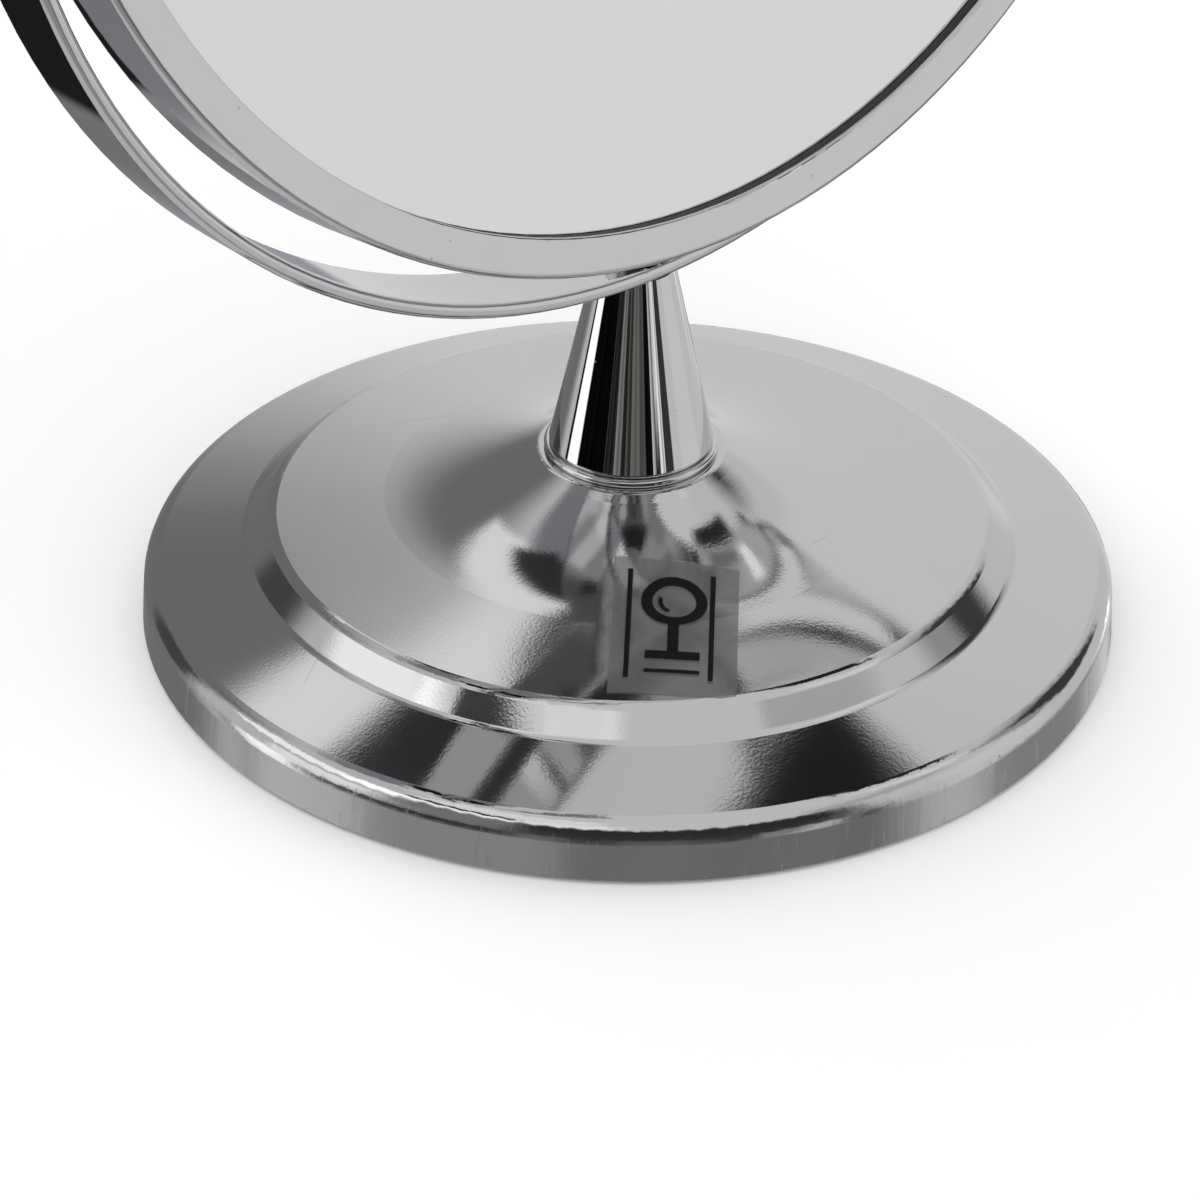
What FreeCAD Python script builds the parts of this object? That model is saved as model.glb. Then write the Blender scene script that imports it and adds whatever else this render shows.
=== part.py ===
import FreeCAD, Part
import math
import os
import re

import Sketcher
from FreeCAD import Placement, Rotation, Vector

# Countertop mirror: a double-sided round head that turns about a horizontal axis in a U-shaped
# strip yoke, on a conical post and a pressed round base. Millimetres, +Z up, the origin at the
# middle of the base's underside. The pivot axis is parallel to X and the plain glass faces -Y.

SIZES = {
    # pressed base shell, as (radius, height) of the corners of its outer profile
    "base_r": 60.0,            # foot of the skirt
    "skirt_draft": 0.4,        # the skirt leans in by this much
    "shell_t": 0.8,            # sheet thickness
    "shell_z": 0.6,            # the skirt's lower edge, above the pad's face
    "shoulder_z": 7.4,
    "shoulder_round": 3.0,
    "step_low_r": 47.2,
    "step_low_z": 10.7,
    "step_low_round": 1.6,
    "step_top_r": 44.0,
    "step_top_z": 13.9,
    "step_top_round": 2.2,
    "flare_r": 20.8,           # where the slow slope and the steeper one would meet
    "flare_z": 17.15,
    "flare_round": 48.0,
    "neck_r": 11.4,            # flat seat for the post
    "neck_z": 22.6,
    "neck_round": 1.2,
    # weight and pad under the shell
    "pad_r": 56.5,
    "pad_t": 1.4,
    "weight_r": 56.0,
    "weight_z": 6.2,           # top of the weight's disc
    "weight_lip_r": 42.0,      # raised middle of the disc
    "weight_lip_z": 9.6,
    "weight_slope": 3.0,       # run of the slope round the raised middle
    "boss_r": 8.6,             # boss that carries the neck from inside
    "boss_foot_r": 12.5,
    "boss_root_r": 17.5,
    "sink_r": 8.0,             # counterbore for the tie screw's nut
    "sink_z": 8.0,
    # tie screw, its nut and washers
    "tie_r": 2.4,
    "tie_hole_r": 2.7,
    "tie_end_z": 2.0,
    "tie_lead": 0.5,           # chamfer of the screw's end
    "tie_head_r": 4.3,
    "tie_head_t": 2.3,
    "tie_slot_w": 1.1,
    "tie_slot_t": 1.2,
    "thread_gap": 0.03,        # between a screw and the thread that it holds
    "nut_flats": 8.0,
    "nut_t": 3.7,
    "lock_r": 4.5,
    "lock_t": 1.2,
    "slit_w": 0.7,             # the spring washer's slanted slit
    "flat_r": 6.0,
    "flat_t": 1.0,
    "tooth_r": 4.9,
    "tooth_t": 0.5,
    "tooth_dish": 0.22,
    "tooth_gap": 0.06,         # between the washer's inner edge and the yoke
    "tooth_long": 0.9,
    # post and the bright ring at its foot
    "collar_r": 10.6,
    "collar_t": 0.9,
    "collar_round": 0.4,
    "post_foot_r": 10.1,
    "post_top_r": 4.85,
    "post_foot_round": 0.5,
    # yoke
    "yoke_z": 138.8,           # centre of the yoke's arc
    "yoke_r": 89.3,            # inner radius
    "yoke_t": 1.9,
    "yoke_w": 10.2,
    "yoke_end_round": 5.0,
    "yoke_edge": 0.75,
    "bush_hole_r": 3.2,
    # head
    "pivot_z": 143.2,
    "head_tilt": 7.1,          # degrees, the plain face looks a little upward
    "rim_r": 87.8,
    "rim_lip": 4.8,            # width of the flat annular face
    "rim_w": 9.4,              # depth from face to face
    "rim_t": 0.6,
    "rim_corner": 0.8,         # outer corners of the rolled channel
    "rim_edge": 0.3,
    "seal_t": 0.75,
    "seal_r": 83.1,
    "glass_r": 86.6,
    "glass_t": 1.5,
    "bend_r": 1200.0,          # radius of the magnifying glass
    "core_in_r": 77.0,
    "core_r": 86.6,
    "card_r": 76.4,
    "card_t": 0.3,
    "stack_gap": 0.1,          # slack between the pieces inside the rim
    # pivots, measured along X from the rim outwards
    "pivot_r": 2.0,
    "pivot_thread_r": 1.2,
    "pivot_gap": 0.05,         # running clearance in the bush
    "pivot_head_r": 4.4,
    "pivot_head_t": 2.4,
    "pivot_head_side": 0.9,    # height of the head's straight side
    "bush_gap": 0.3,           # between the bush's flange and the rim
    "spring_gap": 0.15,        # between the spring and the screw's head
    "bush_flange_r": 4.6,
    "wave_r": 4.0,
    "wave_t": 0.35,
    "wave_rise": 0.3,
    "insert_x": 83.4,          # inner end of the threaded insert
    "insert_t": 3.3,
    "insert_w": 3.0,
    "insert_long": 8.0,
    # clear label on the flare
    "label_w": 14.9,
    "label_long": 22.5,
    "label_x": -16.95,
    "label_y": -26.35,
    "label_turn": 44.2,        # degrees, from the long side to -Y
    "label_lift": 0.04,
    "label_t": 0.14,
    "label_inset": 0.4,        # kept free beside the neck's corner and the step's
}

SHEET = "sizes"
FINE = 1e-4

doc = FreeCAD.newDocument("countertop_mirror")
sheet = doc.addObject("Spreadsheet::Sheet", SHEET)
for row, (alias, size) in enumerate(SIZES.items(), start=1):
    sheet.set(f"A{row}", alias)
    sheet.set(f"B{row}", str(size))
    sheet.setAlias(f"B{row}", alias)
doc.recompute()


# ---------------------------------------------------------------- expressions and sketches

def bound(expression):
    """The expression with each size's name written as a reference to the sheet."""
    return re.sub(r"[a-z_]+", lambda word: f"{SHEET}.{word[0]}" if word[0] in SIZES else word[0],
                  str(expression))


def number(expression):
    """The expression's value in millimetres."""
    result = doc.getObject(SHEET).evalExpression(bound(expression))
    return float(getattr(result, "Value", result))


def bind(target, prop, expression):
    target.setExpression(prop, bound(expression))


def new_body(label):
    body = doc.addObject("PartDesign::Body", label)
    body.Label = label
    return body


def new_sketch(body, plane):
    sketch = body.newObject("Sketcher::SketchObject", body.Name + "_sketch")
    origin_plane = [item for item in body.Origin.OriginFeatures if item.Role == plane][0]
    sketch.AttachmentSupport = [(origin_plane, "")]
    sketch.MapMode = "FlatFace"
    return sketch


def pin_vertex(sketch, geometry, end, across, up):
    """Holds one end of a geometry at (across, up), both bound to the sheet."""
    for kind, expression in (("DistanceX", across), ("DistanceY", up)):
        value = number(expression)
        if abs(value) < FINE:
            axis = -2 if kind == "DistanceX" else -1
            sketch.addConstraint(Sketcher.Constraint("PointOnObject", geometry, end, axis))
            continue
        index = sketch.addConstraint(Sketcher.Constraint(kind, -1, 1, geometry, end, value))
        name = f"{kind.lower()}_{index}"
        sketch.renameConstraint(index, name)
        bind(sketch, f"Constraints.{name}", expression)


def polygon(sketch, corners):
    """A closed outline through corners, each a pair of expressions."""
    places = [Vector(number(across), number(up), 0) for across, up in corners]
    lines = []
    for start, end in zip(places, places[1:] + places[:1]):
        lines.append(sketch.addGeometry(Part.LineSegment(start, end), False))
    for line, following in zip(lines, lines[1:] + lines[:1]):
        sketch.addConstraint(Sketcher.Constraint("Coincident", line, 2, following, 1))
    for line, (across, up) in zip(lines, corners):
        pin_vertex(sketch, line, 1, across, up)


def circle(sketch, radius, across="0", up="0"):
    place = Vector(number(across), number(up), 0)
    ring = sketch.addGeometry(Part.Circle(place, Vector(0, 0, 1), number(radius)), False)
    pin_vertex(sketch, ring, 3, across, up)
    index = sketch.addConstraint(Sketcher.Constraint("Radius", ring, number(radius)))
    sketch.renameConstraint(index, f"radius_{index}")
    bind(sketch, f"Constraints.radius_{index}", radius)


# ---------------------------------------------------------------- features

def revolve(body, sketch, axis):
    feature = body.newObject("PartDesign::Revolution", body.Name + "_turned")
    feature.Profile = sketch
    feature.ReferenceAxis = (sketch, [axis])
    feature.Angle = 360.0
    doc.recompute()


def pad(body, sketch, length, symmetric=False):
    feature = body.newObject("PartDesign::Pad", body.Name + "_pad")
    feature.Profile = sketch
    bind(feature, "Length", length)
    if symmetric:
        feature.SideType = "Symmetric"
    doc.recompute()


def cut_through(body, sketch, label):
    """Cuts the sketch through the whole body, both ways, and checks that it removed something."""
    before = body.Shape.Volume
    feature = body.newObject("PartDesign::Pocket", f"{body.Name}_{label}")
    feature.Profile = sketch
    feature.Type = "ThroughAll"
    feature.SideType = "Symmetric"
    doc.recompute()
    if not feature.Shape.Volume < before - FINE:
        raise RuntimeError(f"{feature.Name} cuts nothing")


def edges(feature, test):
    """The names of the feature's edges that pass the test."""
    names = [f"Edge{i}" for i, edge in enumerate(feature.Shape.Edges, start=1) if test(edge)]
    if not names:
        raise RuntimeError(f"no edge found on {feature.Name}")
    return names


def ring_edge(radius, along, axis):
    """A test for a full circle of this radius whose centre lies at along on the given axis."""
    wanted_radius, wanted_place = number(radius), number(along)

    def test(edge):
        curve = edge.Curve
        if not isinstance(curve, Part.Circle) or abs(curve.Radius - wanted_radius) > 0.02:
            return False
        return abs(curve.Center.dot(axis) - wanted_place) < 0.02
    return test


def round_edges(body, test, radius):
    """Rounds the edges of the body's last feature that pass the test."""
    base = body.Tip
    fillet = body.newObject("PartDesign::Fillet", body.Name + "_round")
    fillet.Base = (base, edges(base, test))
    bind(fillet, "Radius", radius)
    doc.recompute()


Z_AXIS = Vector(0, 0, 1)
Y_AXIS = Vector(0, 1, 0)
X_AXIS = Vector(1, 0, 0)


def turned_z(label, corners):
    """A body turned about Z; corners are (radius, height)."""
    body = new_body(label)
    sketch = new_sketch(body, "XZ_Plane")
    polygon(sketch, corners)
    revolve(body, sketch, "V_Axis")
    return body


def turned_y(label, corners):
    """A body turned about Y; corners are (radius, distance along Y)."""
    body = new_body(label)
    sketch = new_sketch(body, "XY_Plane")
    polygon(sketch, corners)
    revolve(body, sketch, "V_Axis")
    return body


def turned_x(label, side, corners):
    """A body turned about X on one side, +1 or -1; corners are (distance along X, radius)."""
    body = new_body(label)
    sketch = new_sketch(body, "XZ_Plane")
    polygon(sketch, [(f"{side} * ({along})", radius) for along, radius in corners])
    revolve(body, sketch, "H_Axis")
    return body


def on_pivot_axis(body):
    """Lifts a body drawn about the origin to the pivot axis; it doesn't tilt."""
    bind(body, "Placement.Base.z", "pivot_z")


def on_head(body):
    """Lifts a body drawn about the origin to the pivot axis and tilts it with the head."""
    body.Placement = Placement(Vector(0, 0, number("pivot_z")), Rotation(X_AXIS, -number("head_tilt")))
    bind(body, "Placement.Base.z", "pivot_z")
    bind(body, "Placement.Rotation.Angle", "-head_tilt")


# ---------------------------------------------------------------- base

def make_base_shell():
    """The pressed shell: skirt, shoulder, step, flare and neck, from one sheet."""
    corners = [
        ("0", "shell_z"),
        ("base_r", "shell_z"),
        ("base_r - skirt_draft", "shoulder_z"),
        ("step_low_r", "step_low_z"),
        ("step_top_r", "step_top_z"),
        ("flare_r", "flare_z"),
        ("neck_r", "neck_z"),
        ("0", "neck_z"),
    ]
    rounds = ["shoulder_round", "step_low_round", "step_top_round", "flare_round", "neck_round"]
    body = turned_z("base_shell", corners)
    for (radius, height), size in zip(corners[2:7], rounds):
        round_edges(body, ring_edge(radius, height, Z_AXIS), size)
    solid = body.Tip
    shell = body.newObject("PartDesign::Thickness", "base_shell_sheet")
    lowest = number("shell_z")
    under = [f"Face{i}" for i, face in enumerate(solid.Shape.Faces, start=1)
             if abs(face.CenterOfMass.z - lowest) < FINE]
    shell.Base = (solid, under)
    shell.Reversed = True
    bind(shell, "Value", "shell_t")
    doc.recompute()
    hole = new_sketch(body, "XY_Plane")
    circle(hole, "tie_hole_r")
    cut_through(body, hole, "neck_hole")
    return body


def make_base_weight():
    """The cast weight: a disc, a raised middle and the boss that carries the neck."""
    return turned_z("base_weight", [
        ("tie_hole_r", "sink_z"),
        ("sink_r", "sink_z"),
        ("sink_r", "pad_t"),
        ("weight_r", "pad_t"),
        ("weight_r", "weight_z"),
        ("weight_lip_r + weight_slope", "weight_z"),
        ("weight_lip_r", "weight_lip_z"),
        ("boss_root_r", "weight_lip_z + 2"),
        ("boss_foot_r", "weight_lip_z + 3.5"),
        ("boss_r", "neck_z - shell_t - 3"),
        ("boss_r", "neck_z - shell_t"),
        ("tie_hole_r", "neck_z - shell_t"),
    ])


def make_base_pad():
    """The soft disc that the mirror stands on."""
    return turned_z("base_pad", [
        ("0", "0"),
        ("pad_r - 0.3", "0"),
        ("pad_r", "0.3"),
        ("pad_r", "pad_t"),
        ("0", "pad_t"),
    ])


# ---------------------------------------------------------------- tie screw, nut and washers

FLAT_Z = "(sink_z - flat_t)"
LOCK_Z = "(sink_z - flat_t - lock_t)"
NUT_Z = "(sink_z - flat_t - lock_t - nut_t)"
YOKE_FOOT_Z = "(yoke_z - yoke_r - yoke_t)"
TOOTH_TOP = "yoke_z - yoke_r + tooth_dish + tooth_t"


def make_flat_washer():
    return turned_z("tie_flat_washer", [
        ("tie_hole_r", FLAT_Z),
        ("flat_r", FLAT_Z),
        ("flat_r", "sink_z"),
        ("tie_hole_r", "sink_z"),
    ])


def make_spring_washer():
    """A split spring washer, flat under load."""
    body = turned_z("tie_spring_washer", [
        ("tie_hole_r", LOCK_Z),
        ("lock_r", LOCK_Z),
        ("lock_r", FLAT_Z),
        ("tie_hole_r", FLAT_Z),
    ])
    slit = new_sketch(body, "XY_Plane")
    polygon(slit, [
        ("0.5 * tie_r", "-1.3 * slit_w"),
        ("lock_r + 1", "0.1 * slit_w"),
        ("lock_r + 1", "1.1 * slit_w"),
        ("0.5 * tie_r", "-0.3 * slit_w"),
    ])
    cut_through(body, slit, "slit")
    return body


def make_tie_nut():
    body = new_body("tie_nut")
    sketch = new_sketch(body, "XY_Plane")
    corner = "nut_flats / sqrt(3)"
    polygon(sketch, [(f"{corner} * {math.cos(math.radians(60 * i)):.6f}",
                      f"{corner} * {math.sin(math.radians(60 * i)):.6f}") for i in range(6)])
    circle(sketch, "tie_r + thread_gap")
    bind(sketch, "AttachmentOffset.Base.z", NUT_Z)
    pad(body, sketch, "nut_t")
    return body


def make_tooth_washer():
    """The external-tooth lock washer under the tie screw's head."""
    body = turned_z("yoke_tooth_washer", [
        ("tie_hole_r", "yoke_z - yoke_r + tooth_gap"),
        ("tooth_r", "yoke_z - yoke_r + tooth_dish"),
        ("tooth_r", TOOTH_TOP),
        ("tie_hole_r", TOOTH_TOP),
    ])
    notches = 12
    sketch = new_sketch(body, "XY_Plane")
    half_angle = math.radians(7.5)
    for i in range(notches):
        middle = 2 * math.pi * i / notches
        low, high = middle - half_angle, middle + half_angle
        root, tip = "(tooth_r - tooth_long)", "(tooth_r + 0.5)"
        polygon(sketch, [
            (f"{root} * {math.cos(middle):.6f}", f"{root} * {math.sin(middle):.6f}"),
            (f"{tip} * {math.cos(low):.6f}", f"{tip} * {math.sin(low):.6f}"),
            (f"{tip} * {math.cos(high):.6f}", f"{tip} * {math.sin(high):.6f}"),
        ])
    cut_through(body, sketch, "teeth")
    return body


def make_tie_screw():
    """One long screw that clamps the yoke, post, shell and weight together."""
    head_z = TOOTH_TOP
    body = turned_z("tie_screw", [
        ("0", "tie_end_z"),
        ("tie_r - tie_lead", "tie_end_z"),
        ("tie_r", "tie_end_z + tie_lead"),
        ("tie_r", head_z),
        ("tie_head_r", head_z),
        ("tie_head_r", f"{head_z} + tie_head_t * 0.55"),
        ("tie_head_r - 1.1", f"{head_z} + tie_head_t"),
        ("0", f"{head_z} + tie_head_t"),
    ])
    slot = new_sketch(body, "XZ_Plane")
    polygon(slot, [
        ("-tie_slot_w / 2", f"{head_z} + tie_head_t - tie_slot_t"),
        ("tie_slot_w / 2", f"{head_z} + tie_head_t - tie_slot_t"),
        ("tie_slot_w / 2", f"{head_z} + tie_head_t + 1"),
        ("-tie_slot_w / 2", f"{head_z} + tie_head_t + 1"),
    ])
    cut_through(body, slot, "slot")
    return body


# ---------------------------------------------------------------- post

def make_post_collar():
    """The bright ring between the shell's neck and the post."""
    body = turned_z("post_collar", [
        ("tie_hole_r", "neck_z"),
        ("collar_r", "neck_z"),
        ("collar_r", "neck_z + collar_t"),
        ("tie_hole_r", "neck_z + collar_t"),
    ])
    for height in ("neck_z", "neck_z + collar_t"):
        round_edges(body, ring_edge("collar_r", height, Z_AXIS), "collar_round")
    return body


def make_post():
    """The polished cone, with its top hollowed to the yoke's curve."""
    body = turned_z("post", [
        ("tie_hole_r", "neck_z + collar_t"),
        ("post_foot_r", "neck_z + collar_t"),
        ("post_top_r", YOKE_FOOT_Z),
        ("post_top_r", f"{YOKE_FOOT_Z} + 1"),
        ("tie_hole_r", f"{YOKE_FOOT_Z} + 1"),
    ])
    round_edges(body, ring_edge("post_foot_r", "neck_z + collar_t", Z_AXIS), "post_foot_round")
    saddle = new_sketch(body, "XZ_Plane")
    circle(saddle, "yoke_r + yoke_t", "0", "yoke_z")
    cut_through(body, saddle, "saddle")
    return body


# ---------------------------------------------------------------- yoke

def yoke_outline(sketch):
    """Two concentric half circles, open upwards, and the straight arms above their ends."""
    centre = Vector(0, number("yoke_z"), 0)
    top = number("pivot_z + yoke_end_round")
    arcs, walls = [], []
    for radius in ("yoke_r", "yoke_r + yoke_t"):
        size = number(radius)
        whole = Part.Circle(centre, Vector(0, 0, 1), size)
        arc = sketch.addGeometry(Part.ArcOfCircle(whole, math.pi, 2 * math.pi), False)
        left_wall = Part.LineSegment(Vector(-size, top, 0), Vector(-size, centre.y, 0))
        right_wall = Part.LineSegment(Vector(size, centre.y, 0), Vector(size, top, 0))
        left = sketch.addGeometry(left_wall, False)
        right = sketch.addGeometry(right_wall, False)
        pin_vertex(sketch, arc, 3, "0", "yoke_z")
        index = sketch.addConstraint(Sketcher.Constraint("Radius", arc, size))
        sketch.renameConstraint(index, f"radius_{index}")
        bind(sketch, f"Constraints.radius_{index}", radius)
        sketch.addConstraint(Sketcher.Constraint("Tangent", left, 2, arc, 1))
        sketch.addConstraint(Sketcher.Constraint("Tangent", arc, 2, right, 1))
        sketch.addConstraint(Sketcher.Constraint("Vertical", left))
        sketch.addConstraint(Sketcher.Constraint("Vertical", right))
        arcs.append(arc)
        walls.append((left, right))
    (in_left, in_right), (out_left, out_right) = walls
    for inner, outer, end in ((in_left, out_left, 1), (in_right, out_right, 2)):
        first = sketch.getPoint(inner, end)
        second = sketch.getPoint(outer, end)
        cap = sketch.addGeometry(Part.LineSegment(first, second), False)
        sketch.addConstraint(Sketcher.Constraint("Coincident", cap, 1, inner, end))
        sketch.addConstraint(Sketcher.Constraint("Coincident", cap, 2, outer, end))
        sketch.addConstraint(Sketcher.Constraint("Horizontal", cap))
        index = sketch.addConstraint(Sketcher.Constraint("DistanceY", -1, 1, cap, 1, top))
        sketch.renameConstraint(index, f"arm_top_{index}")
        bind(sketch, f"Constraints.arm_top_{index}", "pivot_z + yoke_end_round")


def make_yoke():
    """The strip bent to a U, with rounded ends, soft edges and its three holes."""
    body = new_body("yoke")
    sketch = new_sketch(body, "XZ_Plane")
    yoke_outline(sketch)
    pad(body, sketch, "yoke_w", symmetric=True)
    half_width = number("yoke_w / 2")
    arm_top = number("pivot_z + yoke_end_round")

    def end_corner(edge):
        middle = edge.CenterOfMass
        along_x = abs(edge.tangentAt(edge.FirstParameter).dot(X_AXIS)) > 0.99
        return along_x and abs(middle.z - arm_top) < 0.01 and abs(abs(middle.y) - half_width) < 0.01

    def long_edge(edge):
        box = edge.BoundBox
        return box.YLength < 0.01 and abs(abs(box.Center.y) - half_width) < 0.01 and box.ZLength > 3

    round_edges(body, end_corner, "yoke_end_round")
    round_edges(body, long_edge, "yoke_edge")
    pivots = new_sketch(body, "YZ_Plane")
    circle(pivots, "bush_hole_r", "0", "pivot_z")
    cut_through(body, pivots, "pivot_holes")
    foot = new_sketch(body, "XY_Plane")
    circle(foot, "tie_hole_r")
    cut_through(body, foot, "tie_hole")
    return body


# ---------------------------------------------------------------- head

def make_rim():
    """The rolled channel that holds both glasses, open towards the middle."""
    half = "rim_w / 2"
    lip_r = "rim_r - rim_lip"
    body = turned_y("rim_channel", [
        (lip_r, f"-{half}"),
        ("rim_r", f"-{half}"),
        ("rim_r", half),
        (lip_r, half),
        (lip_r, f"{half} - rim_t"),
        ("rim_r - rim_t", f"{half} - rim_t"),
        ("rim_r - rim_t", f"-{half} + rim_t"),
        (lip_r, f"-{half} + rim_t"),
    ])
    for place in (f"-{half}", half):
        round_edges(body, ring_edge("rim_r", place, Y_AXIS), "rim_corner")
        round_edges(body, ring_edge(lip_r, place, Y_AXIS), "rim_edge")
    holes = new_sketch(body, "YZ_Plane")
    circle(holes, "pivot_thread_r + 0.15")
    cut_through(body, holes, "pivot_holes")
    on_head(body)
    return body


def make_seal(label, side):
    """The soft dark ring between a lip and its glass; side is -1 in front and +1 behind."""
    outer_face = f"{side} * (rim_w / 2 - rim_t)"
    inner_face = f"{side} * (rim_w / 2 - rim_t - seal_t)"
    body = turned_y(label, [
        ("seal_r", outer_face),
        ("glass_r", outer_face),
        ("glass_r", inner_face),
        ("seal_r", inner_face),
    ])
    on_head(body)
    return body


GLASS_FACE = "(rim_w / 2 - rim_t - seal_t)"


def make_front_glass():
    """The plain mirror glass."""
    body = turned_y("front_glass", [
        ("0", f"-{GLASS_FACE}"),
        ("glass_r", f"-{GLASS_FACE}"),
        ("glass_r", f"-{GLASS_FACE} + glass_t"),
        ("0", f"-{GLASS_FACE} + glass_t"),
    ])
    on_head(body)
    return body


def make_rear_glass():
    """The magnifying mirror glass, a shallow bowl with its hollow to the rear."""
    body = new_body("rear_glass")
    sketch = new_sketch(body, "XY_Plane")
    edge_r = number("glass_r")
    face = number(GLASS_FACE)
    thick = number("glass_t")
    bend = number("bend_r")
    centre = Vector(0, face + math.sqrt(bend ** 2 - edge_r ** 2), 0)
    arcs = []
    for radius in (bend, bend + thick):
        start = 1.5 * math.pi
        end = start + math.asin(edge_r / radius)
        whole = Part.Circle(centre, Vector(0, 0, 1), radius)
        arcs.append(sketch.addGeometry(Part.ArcOfCircle(whole, start, end), False))
    near, far = arcs
    middle = sketch.addGeometry(Part.LineSegment(sketch.getPoint(near, 1), sketch.getPoint(far, 1)), False)
    edge = sketch.addGeometry(Part.LineSegment(sketch.getPoint(near, 2), sketch.getPoint(far, 2)), False)
    for line, end in ((middle, 1), (edge, 2)):
        sketch.addConstraint(Sketcher.Constraint("Coincident", line, 1, near, end))
        sketch.addConstraint(Sketcher.Constraint("Coincident", line, 2, far, end))
        sketch.addConstraint(Sketcher.Constraint("Vertical", line))
    sketch.addConstraint(Sketcher.Constraint("Coincident", near, 3, far, 3))
    sketch.addConstraint(Sketcher.Constraint("PointOnObject", near, 3, -2))
    sketch.addConstraint(Sketcher.Constraint("PointOnObject", near, 1, -2))
    for arc, radius in ((near, "bend_r"), (far, "bend_r + glass_t")):
        index = sketch.addConstraint(Sketcher.Constraint("Radius", arc, number(radius)))
        sketch.renameConstraint(index, f"radius_{index}")
        bind(sketch, f"Constraints.radius_{index}", radius)
    pin_vertex(sketch, near, 2, "glass_r", GLASS_FACE)
    revolve(body, sketch, "V_Axis")
    on_head(body)
    return body


def make_core_ring():
    """The plastic ring that keeps the glasses apart, notched for the threaded inserts."""
    front = f"-{GLASS_FACE} + glass_t"
    outer_rear = f"{GLASS_FACE} - glass_t"
    hollow = "(glass_r ^ 2 - core_in_r ^ 2) / (2 * bend_r)"
    body = turned_y("core_ring", [
        ("core_in_r", front),
        ("core_r", front),
        ("core_r", f"{outer_rear} - stack_gap"),
        ("core_in_r", f"{outer_rear} - {hollow} - stack_gap"),
    ])
    notches = new_sketch(body, "XZ_Plane")
    for side in (1, -1):
        polygon(notches, [
            (f"{side} * (insert_x - 0.2)", "-insert_long / 2 - 0.2"),
            (f"{side} * (core_r + 2)", "-insert_long / 2 - 0.2"),
            (f"{side} * (core_r + 2)", "insert_long / 2 + 0.2"),
            (f"{side} * (insert_x - 0.2)", "insert_long / 2 + 0.2"),
        ])
    cut_through(body, notches, "notches")
    on_head(body)
    return body


def make_backing_card():
    """The thin card that keeps the two silvered backs apart."""
    front = f"-{GLASS_FACE} + glass_t + stack_gap / 2"
    body = turned_y("backing_card", [
        ("0", front),
        ("card_r", front),
        ("card_r", f"{front} + card_t"),
        ("0", f"{front} + card_t"),
    ])
    on_head(body)
    return body


# ---------------------------------------------------------------- pivots

YOKE_OUT = "(yoke_r + yoke_t)"
PIVOT_SEAT = "(yoke_r + yoke_t + wave_t + wave_rise + spring_gap)"


def make_pivot_screw(label, side):
    """The shouldered screw, fixed in the head, that turns in the yoke's bush."""
    dome = f"{PIVOT_SEAT} + pivot_head_t"
    body = turned_x(label, side, [
        ("insert_x + stack_gap", "0"),
        (dome, "0"),
        (dome, "pivot_head_r - 1.9"),
        (f"{dome} - 0.6", "pivot_head_r - 0.7"),
        (f"{PIVOT_SEAT} + pivot_head_side", "pivot_head_r"),
        (PIVOT_SEAT, "pivot_head_r"),
        (PIVOT_SEAT, "pivot_r"),
        ("rim_r + 0.05", "pivot_r"),
        ("rim_r + 0.05", "pivot_thread_r"),
        ("insert_x + stack_gap", "pivot_thread_r"),
    ])
    on_head(body)
    return body


def make_pivot_bush(label, side):
    """The flanged plastic bush in the yoke's arm; the flange keeps the head off the yoke."""
    body = turned_x(label, side, [
        ("rim_r + bush_gap", "pivot_r + pivot_gap"),
        ("rim_r + bush_gap", "bush_flange_r"),
        ("yoke_r", "bush_flange_r"),
        ("yoke_r", "bush_hole_r"),
        (YOKE_OUT, "bush_hole_r"),
        (YOKE_OUT, "pivot_r + pivot_gap"),
    ])
    on_pivot_axis(body)
    return body


def make_pivot_spring(label, side):
    """The dished spring washer under the pivot screw's head, which gives the head its friction."""
    body = turned_x(label, side, [
        (YOKE_OUT, "wave_r"),
        (f"{YOKE_OUT} + wave_t", "wave_r"),
        (f"{YOKE_OUT} + wave_t + wave_rise", "pivot_r + pivot_gap"),
        (f"{YOKE_OUT} + wave_rise", "pivot_r + pivot_gap"),
    ])
    on_pivot_axis(body)
    return body


def make_pivot_insert(label, side):
    """The threaded block inside the rim that the pivot screw bites into."""
    body = new_body(label)
    sketch = new_sketch(body, "YZ_Plane")
    polygon(sketch, [
        ("-insert_w / 2", "-insert_long / 2"),
        ("insert_w / 2", "-insert_long / 2"),
        ("insert_w / 2", "insert_long / 2"),
        ("-insert_w / 2", "insert_long / 2"),
    ])
    circle(sketch, "pivot_thread_r + thread_gap")
    low_end = "insert_x" if side > 0 else "-insert_x - insert_t"
    bind(sketch, "AttachmentOffset.Base.z", low_end)
    pad(body, sketch, "insert_t")
    on_head(body)
    return body


# ---------------------------------------------------------------- label

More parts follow.
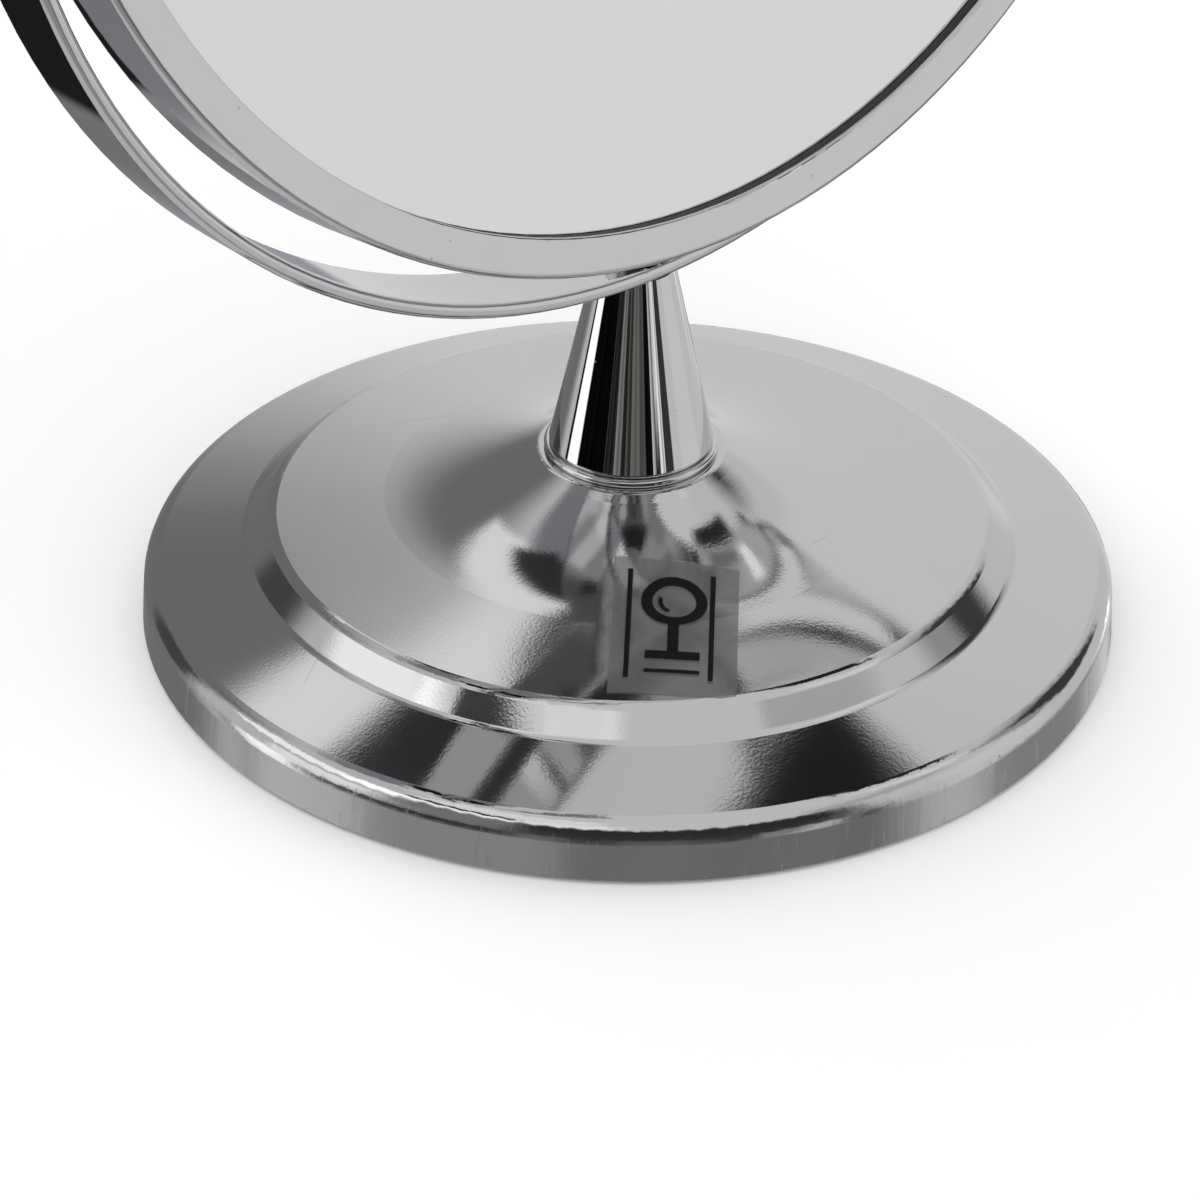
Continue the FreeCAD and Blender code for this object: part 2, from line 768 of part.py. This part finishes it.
def bent_line(sketch, start, corner, end, radius):
    """Two lines that would meet at corner, joined by a tangent arc; gives the first and the last."""
    first, middle, last = [Vector(number(a), number(b), 0) for a, b in (start, corner, end)]
    back = (first - middle).normalize()
    ahead = (last - middle).normalize()
    half_angle = back.getAngle(ahead) / 2
    size = number(radius)
    tangent = size / math.tan(half_angle)
    leave, join = middle + back * tangent, middle + ahead * tangent
    centre = middle + (back + ahead).normalize() * (size / math.sin(half_angle))
    through = centre + (middle - centre).normalize() * size
    line_in = sketch.addGeometry(Part.LineSegment(first, leave), False)
    bend = sketch.addGeometry(Part.Arc(leave, through, join), False)
    line_out = sketch.addGeometry(Part.LineSegment(join, last), False)
    begins = (sketch.getPoint(bend, 1) - leave).Length < FINE
    near, far = (1, 2) if begins else (2, 1)
    sketch.addConstraint(Sketcher.Constraint("Tangent", line_in, 2, bend, near))
    sketch.addConstraint(Sketcher.Constraint("Tangent", bend, far, line_out, 1))
    index = sketch.addConstraint(Sketcher.Constraint("Radius", bend, size))
    sketch.renameConstraint(index, f"bend_{index}")
    bind(sketch, f"Constraints.bend_{index}", radius)
    point = sketch.addGeometry(Part.Point(middle), True)
    pin_vertex(sketch, point, 1, *corner)
    sketch.addConstraint(Sketcher.Constraint("PointOnObject", point, 1, line_in))
    sketch.addConstraint(Sketcher.Constraint("PointOnObject", point, 1, line_out))
    pin_vertex(sketch, line_in, 1, *start)
    pin_vertex(sketch, line_out, 2, *end)
    return line_in, line_out


def make_label_film():
    """The clear label: a thin skin over the flare, trimmed to a rectangle."""
    steep = "(neck_z - flare_z) / (flare_r - neck_r)"
    slow = "(flare_z - step_top_z) / (step_top_r - flare_r)"
    profile = [
        ("neck_r + label_inset", f"neck_z - {steep} * label_inset"),
        ("flare_r", "flare_z"),
        ("step_top_r - label_inset", f"step_top_z + {slow} * label_inset"),
    ]
    body = new_body("label_film")
    sketch = new_sketch(body, "XZ_Plane")
    ends = []
    for lift in ("label_lift", "label_lift + label_t"):
        raised = [(radius, f"{height} + {lift}") for radius, height in profile]
        ends.append(bent_line(sketch, *raised, "flare_round"))
    (low_in, low_out), (high_in, high_out) = ends
    for low, high, end in ((low_in, high_in, 1), (low_out, high_out, 2)):
        joint = Part.LineSegment(sketch.getPoint(low, end), sketch.getPoint(high, end))
        closing = sketch.addGeometry(joint, False)
        sketch.addConstraint(Sketcher.Constraint("Coincident", closing, 1, low, end))
        sketch.addConstraint(Sketcher.Constraint("Coincident", closing, 2, high, end))
    revolve(body, sketch, "V_Axis")
    trim = new_sketch(body, "XY_Plane")
    corners = []
    for across, along in ((-1, -1), (1, -1), (1, 1), (-1, 1)):
        corners.append((
            f"label_x + {across} * label_w / 2 * cos(label_turn * 1 deg)"
            f" - {along} * label_long / 2 * sin(label_turn * 1 deg)",
            f"label_y - {across} * label_w / 2 * sin(label_turn * 1 deg)"
            f" - {along} * label_long / 2 * cos(label_turn * 1 deg)",
        ))
    polygon(trim, corners)
    circle(trim, "base_r * 2")
    cut_through(body, trim, "outline")
    return body


# ---------------------------------------------------------------- all of it

SIDES = (("right", 1), ("left", -1))

nodes = [
    make_base_shell(),
    make_base_weight(),
    make_base_pad(),
    make_flat_washer(),
    make_spring_washer(),
    make_tie_nut(),
    make_tooth_washer(),
    make_tie_screw(),
    make_post_collar(),
    make_post(),
    make_yoke(),
    make_label_film(),
    make_rim(),
    make_seal("front_seal", -1),
    make_seal("rear_seal", 1),
    make_front_glass(),
    make_rear_glass(),
    make_core_ring(),
    make_backing_card(),
]
for name, side in SIDES:
    nodes.append(make_pivot_screw(f"pivot_screw_{name}", side))
    nodes.append(make_pivot_bush(f"pivot_bush_{name}", side))
    nodes.append(make_pivot_spring(f"pivot_spring_{name}", side))
    nodes.append(make_pivot_insert(f"pivot_insert_{name}", side))

doc.recompute()
for item in doc.Objects:
    if {"Invalid", "Error"} & set(item.State):
        raise RuntimeError(f"{item.Name} failed: {item.State}")
for node in nodes:
    if node.Shape.isNull() or not node.Shape.isValid() or len(node.Shape.Solids) != 1:
        raise RuntimeError(f"{node.Label} has no single valid solid")

os.makedirs("parts", exist_ok=True)
for node in nodes:
    node.Shape.exportStep(f"parts/{node.Label}.step")
    print(node.Label, round(node.Shape.Volume, 1), "mm3")
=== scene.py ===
import math

import bmesh
import bpy
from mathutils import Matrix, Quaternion, Vector
from mathutils.bvhtree import BVHTree


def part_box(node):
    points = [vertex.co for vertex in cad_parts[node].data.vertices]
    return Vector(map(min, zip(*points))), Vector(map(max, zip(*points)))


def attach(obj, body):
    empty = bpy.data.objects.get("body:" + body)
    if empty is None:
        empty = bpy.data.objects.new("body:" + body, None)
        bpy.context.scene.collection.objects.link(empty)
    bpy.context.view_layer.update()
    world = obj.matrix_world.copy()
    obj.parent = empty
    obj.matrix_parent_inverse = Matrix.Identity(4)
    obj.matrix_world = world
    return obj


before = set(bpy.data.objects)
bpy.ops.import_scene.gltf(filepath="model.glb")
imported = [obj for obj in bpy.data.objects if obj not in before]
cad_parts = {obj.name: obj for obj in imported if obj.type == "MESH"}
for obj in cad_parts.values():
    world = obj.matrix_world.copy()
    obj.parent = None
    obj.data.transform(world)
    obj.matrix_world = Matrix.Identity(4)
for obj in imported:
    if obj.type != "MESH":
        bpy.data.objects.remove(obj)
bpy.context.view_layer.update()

MM = 0.001
SKIRT_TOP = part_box("base_shell")[0].z + 6.0 * MM
SKIRT_FADE = 0.4 * MM

# The camera's place, the point that it looks at and its roll, in the frame's metres.
CAMERA_AT = Vector((-0.32334, -0.34697, 0.30179))
CAMERA_TARGET = Vector((0.00201, 0.00723, -0.00414))
CAMERA_ROLL = math.radians(1.05)
CAMERA_LENS = 135.5
CAMERA_SENSOR = 36.0


# ---------------------------------------------------------------- nodes

# Sockets that share their name with others on the same node, by number.
MIX_FACTOR, MIX_FIRST, MIX_SECOND = 0, 2, 3
COLOUR_FIRST, COLOUR_SECOND, COLOUR_RESULT = 6, 7, 2
SHADER_FIRST, SHADER_SECOND = 1, 2


def add_node(tree, kind, inputs=None, **settings):
    """A shader node with its settings and inputs; an input is a value or another node's output."""
    node = tree.nodes.new(kind)
    for name, value in settings.items():
        setattr(node, name, value)
    for key, value in (inputs or {}).items():
        if isinstance(value, bpy.types.NodeSocket):
            tree.links.new(value, node.inputs[key])
        else:
            node.inputs[key].default_value = value
    return node


def calculate(tree, operation, *values):
    """The result of a maths operation on values or other nodes' outputs."""
    node = add_node(tree, "ShaderNodeMath", dict(enumerate(values)), operation=operation)
    return node.outputs[0]


def ramp(tree, value, low, high, start=0.0, end=1.0):
    """The value mapped smoothly from low..high to start..end."""
    inputs = dict(enumerate((value, low, high, start, end)))
    node = add_node(tree, "ShaderNodeMapRange", inputs, interpolation_type="SMOOTHSTEP")
    return node.outputs[0]


def noise(tree, place, scale, detail=2.0, roughness=0.5, distortion=0.0):
    """Fractal noise from 0 to 1; scale counts its features in a metre."""
    node = add_node(tree, "ShaderNodeTexNoise", {
        "Vector": place, "Scale": scale, "Detail": detail, "Roughness": roughness, "Distortion": distortion})
    return node.outputs["Fac"]


def blend_colours(tree, factor, first, second):
    """A mix of two colours, each a plain triple or another node's output."""
    node = add_node(tree, "ShaderNodeMix", {"Factor": factor}, data_type="RGBA")
    for key, colour in ((COLOUR_FIRST, first), (COLOUR_SECOND, second)):
        if isinstance(colour, bpy.types.NodeSocket):
            tree.links.new(colour, node.inputs[key])
        else:
            node.inputs[key].default_value = (*colour, 1.0)
    return node.outputs[COLOUR_RESULT]


def bump(tree, height, distance, under=None):
    """A normal bent by the height, which spans this distance in metres, on top of another bump."""
    inputs = {"Height": height, "Distance": distance, "Strength": 1.0}
    if under is not None:
        inputs["Normal"] = under
    return add_node(tree, "ShaderNodeBump", inputs).outputs["Normal"]


def dots(tree, place, scale, core, edge, common, rare):
    """Scattered dots of 1 that fade from core to edge, in the cells drawn above common to rare."""
    cells = add_node(tree, "ShaderNodeTexVoronoi", {"Vector": place, "Scale": scale}).outputs
    drawn = add_node(tree, "ShaderNodeSeparateColor", {"Color": cells["Color"]}).outputs["Red"]
    return calculate(tree, "MULTIPLY", ramp(tree, cells["Distance"], core, edge, 1.0, 0.0),
                     ramp(tree, drawn, common, rare))


def new_material(name):
    """A material with one Principled shader; gives the material, its tree, the shader and the place."""
    material = bpy.data.materials.new(name)
    material.use_nodes = True
    tree = material.node_tree
    shader = tree.nodes["Principled BSDF"]
    place = add_node(tree, "ShaderNodeTexCoord").outputs["Object"]
    return material, tree, shader, place


def set_inputs(shader, **values):
    """Sets values that are the same all over the surface on the shader's own sockets."""
    for name, value in values.items():
        shader.inputs[name.replace("_", " ")].default_value = value


def feed(tree, shader, **sockets):
    """Links values that vary over the surface to the shader."""
    for name, socket in sockets.items():
        tree.links.new(socket, shader.inputs[name.replace("_", " ")])


# ---------------------------------------------------------------- materials

def satin_chrome():
    """Plating over a pressing: grain that frays reflections, waves, hairlines, pits and a duller skirt."""
    material, tree, shader, place = new_material("satin_chrome")
    set_inputs(shader, Metallic=1.0)
    height = add_node(tree, "ShaderNodeSeparateXYZ", {"Vector": place}).outputs["Z"]
    skirt = ramp(tree, height, SKIRT_TOP - SKIRT_FADE, SKIRT_TOP, 1.0, 0.0)
    patches = noise(tree, place, 70.0, detail=3.0)
    waves = noise(tree, place, 42.0, detail=1.0)
    grain = noise(tree, place, 2600.0, detail=2.0, roughness=0.6)
    upright = add_node(tree, "ShaderNodeMapping", {"Vector": place, "Scale": (1.0, 1.0, 0.12)}).outputs[0]
    streaks = noise(tree, upright, 420.0, detail=3.0, distortion=0.6)
    scuffs = ramp(tree, noise(tree, upright, 1300.0, detail=2.0), 0.60, 0.72)
    drift = noise(tree, place, 16.0, distortion=0.3)
    beside = calculate(tree, "ABSOLUTE", calculate(tree, "SUBTRACT", drift, 0.5))
    hairline = calculate(tree, "MULTIPLY", ramp(tree, beside, 0.0004, 0.0010, 0.4, 0.0),
                         ramp(tree, noise(tree, place, 55.0), 0.64, 0.70))
    marks = calculate(tree, "MAXIMUM", hairline, dots(tree, place, 230.0, 0.03, 0.06, 0.93, 0.94))
    smooth_bump = bump(tree, waves, 9.0e-5)
    grain_bump = bump(tree, grain, calculate(tree, "MULTIPLY_ADD", skirt, 1.0e-6, 4.0e-6), smooth_bump)
    streak_bump = bump(tree, calculate(tree, "MULTIPLY", skirt, streaks), 3.0e-5, grain_bump)
    polish = ramp(tree, patches, 0.3, 0.7, 0.045, 0.08)
    worn = calculate(tree, "MULTIPLY", skirt, calculate(tree, "MULTIPLY_ADD", scuffs, 0.12, 0.14))
    plating = blend_colours(tree, patches, (0.625, 0.625, 0.625), (0.655, 0.655, 0.655))
    feed(tree, shader,
         Base_Color=blend_colours(tree, marks, plating, (0.42, 0.42, 0.425)),
         Roughness=calculate(tree, "MULTIPLY_ADD", marks, 0.2, calculate(tree, "ADD", polish, worn)),
         Normal=streak_bump)
    return material


def bright_chrome():
    """Mirror-bright plating with a faint ripple and a few specks."""
    material, tree, shader, place = new_material("bright_chrome")
    set_inputs(shader, Metallic=1.0)
    patches = noise(tree, place, 90.0, detail=3.0)
    specks = dots(tree, place, 420.0, 0.05, 0.12, 0.72, 0.74)
    clean = ramp(tree, patches, 0.2, 0.8, 0.02, 0.045)
    ripple = noise(tree, place, 160.0, detail=1.0)
    feed(tree, shader,
         Base_Color=blend_colours(tree, patches, (0.645, 0.647, 0.650), (0.675, 0.676, 0.678)),
         Roughness=calculate(tree, "MULTIPLY_ADD", specks, 0.35, clean),
         Normal=bump(tree, ripple, 6.0e-6))
    return material


def mirror_glass():
    """Silvered glass with a little dust."""
    material, tree, shader, place = new_material("mirror_glass")
    set_inputs(shader, Metallic=1.0)
    dust = noise(tree, place, 700.0, detail=4.0)
    feed(tree, shader,
         Base_Color=blend_colours(tree, dust, (0.82, 0.825, 0.825), (0.85, 0.855, 0.855)),
         Roughness=ramp(tree, dust, 0.55, 0.75, 0.0, 0.05))
    return material


def machined(name, first, second, rough):
    """A small metal part with fine marks from its making."""
    material, tree, shader, place = new_material(name)
    set_inputs(shader, Metallic=1.0)
    marks = noise(tree, place, 1500.0, detail=3.0)
    feed(tree, shader,
         Base_Color=blend_colours(tree, marks, first, second),
         Roughness=ramp(tree, marks, 0.3, 0.7, rough, rough + 0.12),
         Normal=bump(tree, marks, 2.0e-6))
    return material


def matt(name, first, second, rough, scale, depth, gloss=0.5):
    """A grained non-metal."""
    material, tree, shader, place = new_material(name)
    set_inputs(shader, Specular_IOR_Level=gloss)
    grain = noise(tree, place, scale, detail=4.0)
    feed(tree, shader,
         Base_Color=blend_colours(tree, grain, first, second),
         Roughness=ramp(tree, grain, 0.3, 0.7, rough, rough + 0.1),
         Normal=bump(tree, grain, depth))
    return material


def clear_film():
    """Matt clear film, hazy enough to grey the chrome under it, with crinkles."""
    material, tree, shader, place = new_material("clear_film")
    set_inputs(shader, Alpha=0.30)
    haze = noise(tree, place, 1500.0, detail=4.0)
    crinkles = noise(tree, place, 500.0, detail=3.0, distortion=1.5)
    feed(tree, shader,
         Base_Color=blend_colours(tree, haze, (0.16, 0.17, 0.18), (0.36, 0.37, 0.38)),
         Roughness=ramp(tree, haze, 0.3, 0.7, 0.25, 0.40),
         Normal=bump(tree, crinkles, 2.0e-5))
    return material


MATERIALS = {
    "satin_chrome": satin_chrome(),
    "bright_chrome": bright_chrome(),
    "mirror_glass": mirror_glass(),
    "screw_chrome": machined("screw_chrome", (0.60, 0.60, 0.61), (0.68, 0.68, 0.69), 0.10),
    "zinc_steel": machined("zinc_steel", (0.36, 0.37, 0.39), (0.50, 0.51, 0.53), 0.28),
    "brass_insert": machined("brass_insert", (0.60, 0.45, 0.20), (0.70, 0.54, 0.27), 0.25),
    "cast_iron": matt("cast_iron", (0.05, 0.05, 0.052), (0.09, 0.09, 0.092), 0.6, 900.0, 6.0e-5),
    "foam_pad": matt("foam_pad", (0.030, 0.030, 0.032), (0.055, 0.055, 0.058), 0.75, 2200.0, 4.0e-5),
    "core_plastic": matt("core_plastic", (0.030, 0.030, 0.030), (0.045, 0.045, 0.045), 0.45, 1200.0, 5.0e-6),
    "card": matt("card", (0.42, 0.36, 0.28), (0.50, 0.44, 0.35), 0.85, 1800.0, 1.0e-5),
    "bush_nylon": matt("bush_nylon", (0.72, 0.71, 0.67), (0.78, 0.77, 0.73), 0.4, 1500.0, 4.0e-6),
    "seal_rubber": matt("seal_rubber", (0.022, 0.022, 0.024), (0.045, 0.045, 0.047), 0.5, 2500.0, 6.0e-6),
    "label_ink": matt("label_ink", (0.004, 0.004, 0.004), (0.010, 0.009, 0.008), 0.6, 2500.0, 3.0e-6,
                      gloss=0.1),
    "clear_film": clear_film(),
}


def dress_cad_nodes():
    """Gives every CAD node the material that its record slot names."""
    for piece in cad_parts.values():
        for holder in piece.material_slots:
            holder.material = MATERIALS[holder.material.name.split(".")[0]]


# ---------------------------------------------------------------- label print

LABEL_TURN = math.radians(44.2)
INK_LIFT = 0.012 * MM
INK_THICK = 0.02 * MM
CAST_FROM = 10.0 * MM
BAR_STRIPS = 4
RING_STRIPS = 3


def on_label(film, across, along):
    """The point of the film's upper face this far across and along it from its middle, in metres."""
    low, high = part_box("label_film")
    middle = (low + high) / 2
    x = middle.x + across * math.cos(LABEL_TURN) - along * math.sin(LABEL_TURN)
    y = middle.y - across * math.sin(LABEL_TURN) - along * math.cos(LABEL_TURN)
    return film.ray_cast(Vector((x, y, high.z + CAST_FROM)), Vector((0, 0, -1)))[0]


def ink_shape(shape, film, rows):
    """A thin closed skin on the film through rows of (across, along) points in millimetres."""
    layers = []
    for lift in (INK_LIFT, INK_LIFT + INK_THICK):
        layer = []
        for row in rows:
            points = [on_label(film, across * MM, along * MM) for across, along in row]
            layer.append([shape.verts.new(point + Vector((0, 0, lift))) for point in points])
        layers.append(layer)
    under, upper = layers
    last_row, last_place = len(rows) - 1, len(rows[0]) - 1
    for i in range(last_row):
        for j in range(last_place):
            corners = [(i, j), (i + 1, j), (i + 1, j + 1), (i, j + 1)]
            shape.faces.new([upper[a][b] for a, b in corners])
            shape.faces.new([under[a][b] for a, b in reversed(corners)])
    rim = [(i, 0) for i in range(last_row)] + [(last_row, j) for j in range(last_place)]
    rim += [(i, last_place) for i in range(last_row, 0, -1)] + [(0, j) for j in range(last_place, 0, -1)]
    for (a, b), (c, d) in zip(rim, rim[1:] + rim[:1]):
        shape.faces.new([upper[a][b], under[a][b], under[c][d], upper[c][d]])


def bar(left, right, top, foot, steps=12):
    """Rows of points that fill a rectangle."""
    heights = [top + (foot - top) * i / steps for i in range(steps + 1)]
    places = [left + (right - left) * j / BAR_STRIPS for j in range(BAR_STRIPS + 1)]
    return [[(across, along) for across in places] for along in heights]


def ring(middle, outer, inner, start, end, steps=48):
    """Rows of points that fill a ring sector; angles run from start to end, in degrees."""
    rows = []
    for i in range(steps + 1):
        angle = math.radians(start + (end - start) * i / steps)
        radii = [outer + (inner - outer) * j / RING_STRIPS for j in range(RING_STRIPS + 1)]
        rows.append([(radius * math.sin(angle), middle - radius * math.cos(angle)) for radius in radii])
    return rows


def build_label_print():
    """A plain pictogram of a round mirror on its stand, between two upright rules and over a short one."""
    film = BVHTree.FromObject(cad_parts["label_film"], bpy.context.evaluated_depsgraph_get())
    shape = bmesh.new()
    outlines = [
        ring(-4.6, 3.9, 2.6, 0, 180),
        ring(-4.6, 3.9, 2.6, 180, 360),
        ring(-4.6, 1.9, 1.4, 200, 290),
        bar(-0.65, 0.65, -0.75, 4.0),
        bar(-3.2, 3.2, 4.0, 5.4),
        bar(-3.2, 3.2, 7.2, 7.8),
        bar(-5.6, -5.0, -9.3, 8.8, steps=30),
        bar(4.2, 4.8, -9.3, 8.8, steps=30),
    ]
    for rows in outlines:
        ink_shape(shape, film, rows)
    bmesh.ops.recalc_face_normals(shape, faces=shape.faces)
    mesh = bpy.data.meshes.new("label_print")
    shape.to_mesh(mesh)
    shape.free()
    mesh.materials.append(MATERIALS["label_ink"])
    piece = bpy.data.objects.new("label_print", mesh)
    bpy.context.scene.collection.objects.link(piece)
    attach(piece, "stand")


# ---------------------------------------------------------------- studio

FRONT = math.atan2(CAMERA_AT.y, CAMERA_AT.x)
NEUTRAL = (1.0, 1.0, 1.0)
COOL = (0.96, 0.99, 1.06)
WARM = (1.05, 1.0, 0.94)

# Soft boxes, walls and dark flags round the object. Each has its bearing from the camera's side,
# counterclockwise, and its height above the horizon, both from and to in degrees, then the width of
# its soft edge, the level that chrome shows where it mirrors it, from 0 to 1, and a tint.
CARDS = [
    ("far_wall", (148, 212), (-45, 46), 10, 0.725, NEUTRAL),
    ("far_low_wall", (160, 208), (-52, -16), 5, 0.50, COOL),
    ("right_wall", (60, 150), (-27, 62), 6, 0.69, NEUTRAL),
    ("right_window", (74, 106), (-24, 28), 5, 0.725, NEUTRAL),
    ("right_high_glow", (92, 112), (46, 64), 6, 0.76, NEUTRAL),
    ("right_glow", (133, 143), (-19, -10), 3, 1.0, NEUTRAL),
    ("right_low_hole", (132, 160), (-48, -40), 3, 0.10, NEUTRAL),
    ("right_flag", (102, 140), (20, 46), 8, 0.52, NEUTRAL),
    ("right_flag_core", (113, 135), (13, 41), 6, 0.22, NEUTRAL),
    ("right_arch", (50, 88), (38, 52), 6, 0.61, NEUTRAL),
    ("right_floor", (92, 135), (-42, -22), 5, 0.46, NEUTRAL),
    ("left_back_wall", (-166, -110), (-50, 50), 20, 0.39, NEUTRAL),
    ("left_back_core", (-131, -112), (-10, 22), 8, 0.25, NEUTRAL),
    ("left_low_hole", (-146, -118), (-50, -36), 4, 0.12, NEUTRAL),
    ("left_high_shade", (-170, -100), (57, 84), 6, 0.42, COOL),
    ("far_left_glow", (187, 216), (44.5, 56), 4, 0.80, NEUTRAL),
    ("far_beam_left", (184, 212), (53.5, 64), 3, 0.18, COOL),
    ("far_beam_middle", (171, 187), (47, 63), 2, 0.15, COOL),
    ("far_beam_right", (130, 172), (54, 66), 3, 0.13, COOL),
    ("left_side", (-106, -60), (-30, 62), 8, 0.66, NEUTRAL),
    ("left_window", (-84, -54), (-6, 22), 5, 0.84, NEUTRAL),
    ("left_box_end", (-104, -50), (30, 44), 4, 0.90, NEUTRAL),
    ("left_box", (-72, -26), (33, 46), 5, 1.0, NEUTRAL),
    ("left_box_middle", (-30, -2), (42, 58), 8, 0.84, NEUTRAL),
    ("left_box_top", (-66, -8), (53, 72), 6, 0.80, NEUTRAL),
    ("left_box_gap", (-60, -28), (46, 52), 2, 0.22, NEUTRAL),
    ("front_floor", (-62, 72), (-54, -20), 6, 0.50, NEUTRAL),
    ("front_right_floor", (-14, 64), (-34, -20), 10, 0.36, NEUTRAL),
    ("front_room", (-54, 56), (-24, 40), 12, 0.42, NEUTRAL),
    ("front_peak", (-24, 50), (-6, 40), 10, 0.18, NEUTRAL),
    ("front_black", (-75, -35), (-20, -4), 1.5, 0.05, WARM),
    ("front_dark", (-35, -22), (-20, -4), 1, 0.12, NEUTRAL),
    ("front_grey", (-22, -13), (-20, -4), 1, 0.34, NEUTRAL),
    ("front_blue", (-13, -7), (-20, -4), 0.8, 0.12, COOL),
    ("front_brown", (-7, 21), (-20, -4), 1.5, 0.26, WARM),
    ("front_gap", (21, 31), (-20, -4), 1, 0.06, NEUTRAL),
    ("front_light", (31, 48), (-20, -4), 1, 0.62, NEUTRAL),
    ("front_light_core", (35, 41), (-16, -7), 1, 0.12, COOL),
    ("front_post", (48, 60), (-20, -4), 1, 0.20, WARM),
    ("left_line", (-98, -93), (-30, 0), 1, 0.10, NEUTRAL),
    ("left_strip", (-93, -76), (-24, 0), 1.5, 1.0, NEUTRAL),
]

# Levels above and below the horizon where no card is, the light that chrome gives back, the display's
# curve, and the strength of the white room.
SKY_LEVEL = 0.71
FLOOR_LEVEL = 0.64
METAL_SHARE = 0.64
DISPLAY_GAMMA = 2.2
ROOM_LIGHT = 1.3

# The horizon's soft edge, and the patch of uneven light in front that stands for a cluttered room.
HORIZON_SOFT = math.radians(30)
CLUTTER_BEARINGS = (-75, 48)
CLUTTER_HEIGHTS = (-24, -3)
CLUTTER_SOFT = 2
CLUTTER_SCALE = 9.0
CLUTTER_DETAIL = 4.0
CLUTTER_DIM, CLUTTER_BRIGHT = 0.3, 2.4

FLOOR_RADIUS = 3.0
FLOOR_SIDES = 96


def shade(level):
    """The light that shows as this level, from 0 to 1, where chrome mirrors it."""
    return level ** DISPLAY_GAMMA / METAL_SHARE


def tinted(level, tint):
    """The colour of the light for this level and tint."""
    return tuple(shade(level) * share for share in tint)


def inside_band(tree, angle, start, end, soft):
    """1 where the angle lies between start and end, round the circle, with a soft edge; in degrees."""
    middle, half, edge = [math.radians(value) for value in ((start + end) / 2, (end - start) / 2, soft / 2)]
    offset = calculate(tree, "WRAP", calculate(tree, "SUBTRACT", angle, middle), math.pi, -math.pi)
    return ramp(tree, calculate(tree, "ABSOLUTE", offset), half - edge, half + edge, 1.0, 0.0)


def inside_patch(tree, bearing, height, bearings, heights, soft):
    """1 where both the bearing and the height lie in their bands."""
    return calculate(tree, "MULTIPLY", inside_band(tree, bearing, *bearings, soft),
                     inside_band(tree, height, *heights, soft))


def build_world():
    """A white room for the eye and for matt surfaces; polished surfaces see the cards in it."""
    world = bpy.data.worlds.new("studio")
    world.use_nodes = True
    bpy.context.scene.world = world
    tree = world.node_tree
    tree.nodes.clear()
    direction = add_node(tree, "ShaderNodeTexCoord").outputs["Generated"]
    turned = add_node(tree, "ShaderNodeVectorRotate", {"Vector": direction, "Angle": -FRONT},
                      rotation_type="Z_AXIS").outputs[0]
    parts = add_node(tree, "ShaderNodeSeparateXYZ", {"Vector": turned}).outputs
    bearing = calculate(tree, "ARCTAN2", parts["Y"], parts["X"])
    height = calculate(tree, "ARCSINE", parts["Z"])
    above = ramp(tree, height, -HORIZON_SOFT, HORIZON_SOFT)
    colour = blend_colours(tree, above, tinted(FLOOR_LEVEL, NEUTRAL), tinted(SKY_LEVEL, NEUTRAL))
    for _, bearings, heights, soft, level, tint in CARDS:
        cover = inside_patch(tree, bearing, height, bearings, heights, soft)
        colour = blend_colours(tree, cover, colour, tinted(level, tint))
    uneven = {"W": bearing, "Scale": CLUTTER_SCALE, "Detail": CLUTTER_DETAIL}
    edges = add_node(tree, "ShaderNodeTexNoise", uneven, noise_dimensions="1D").outputs["Fac"]
    strength = add_node(tree, "ShaderNodeMix", {
        MIX_FACTOR: inside_patch(tree, bearing, height, CLUTTER_BEARINGS, CLUTTER_HEIGHTS, CLUTTER_SOFT),
        MIX_FIRST: 1.0,
        MIX_SECOND: ramp(tree, edges, 0.3, 0.7, CLUTTER_DIM, CLUTTER_BRIGHT),
    })
    cards = add_node(tree, "ShaderNodeBackground", {"Color": colour, "Strength": strength.outputs[0]})
    room = add_node(tree, "ShaderNodeBackground", {"Color": (1, 1, 1, 1), "Strength": ROOM_LIGHT})
    path = add_node(tree, "ShaderNodeLightPath").outputs
    plain = calculate(tree, "MAXIMUM", path["Is Camera Ray"], path["Is Diffuse Ray"])
    mixed = add_node(tree, "ShaderNodeMixShader", {
        MIX_FACTOR: plain, SHADER_FIRST: cards.outputs[0], SHADER_SECOND: room.outputs[0]})
    add_node(tree, "ShaderNodeOutputWorld", {"Surface": mixed.outputs[0]})


def build_floor():
    """A plain pale disc, left out of the reflections, where the cards stand in for it."""
    mesh = bpy.data.meshes.new("floor")
    shape = bmesh.new()
    bmesh.ops.create_circle(shape, cap_ends=True, segments=FLOOR_SIDES, radius=FLOOR_RADIUS)
    shape.to_mesh(mesh)
    shape.free()
    floor = bpy.data.objects.new("floor", mesh)
    bpy.context.scene.collection.objects.link(floor)
    material, _, shader, _ = new_material("pale_floor")
    set_inputs(shader, Roughness=0.8, Base_Color=(0.95, 0.95, 0.95, 1.0))
    mesh.materials.append(material)
    floor.visible_glossy = False


def build_camera():
    """The camera at the photograph's viewing angle."""
    lens = bpy.data.cameras.new("camera")
    lens.lens = CAMERA_LENS
    lens.sensor_width = CAMERA_SENSOR
    camera = bpy.data.objects.new("camera", lens)
    look = CAMERA_TARGET - CAMERA_AT
    camera.location = CAMERA_AT
    camera.rotation_mode = "QUATERNION"
    camera.rotation_quaternion = look.to_track_quat("-Z", "Y") @ Quaternion((0, 0, 1), CAMERA_ROLL)
    bpy.context.scene.collection.objects.link(camera)
    bpy.context.scene.camera = camera


dress_cad_nodes()
build_label_print()
build_world()
build_floor()
build_camera()
bpy.context.scene.view_settings.view_transform = "Standard"
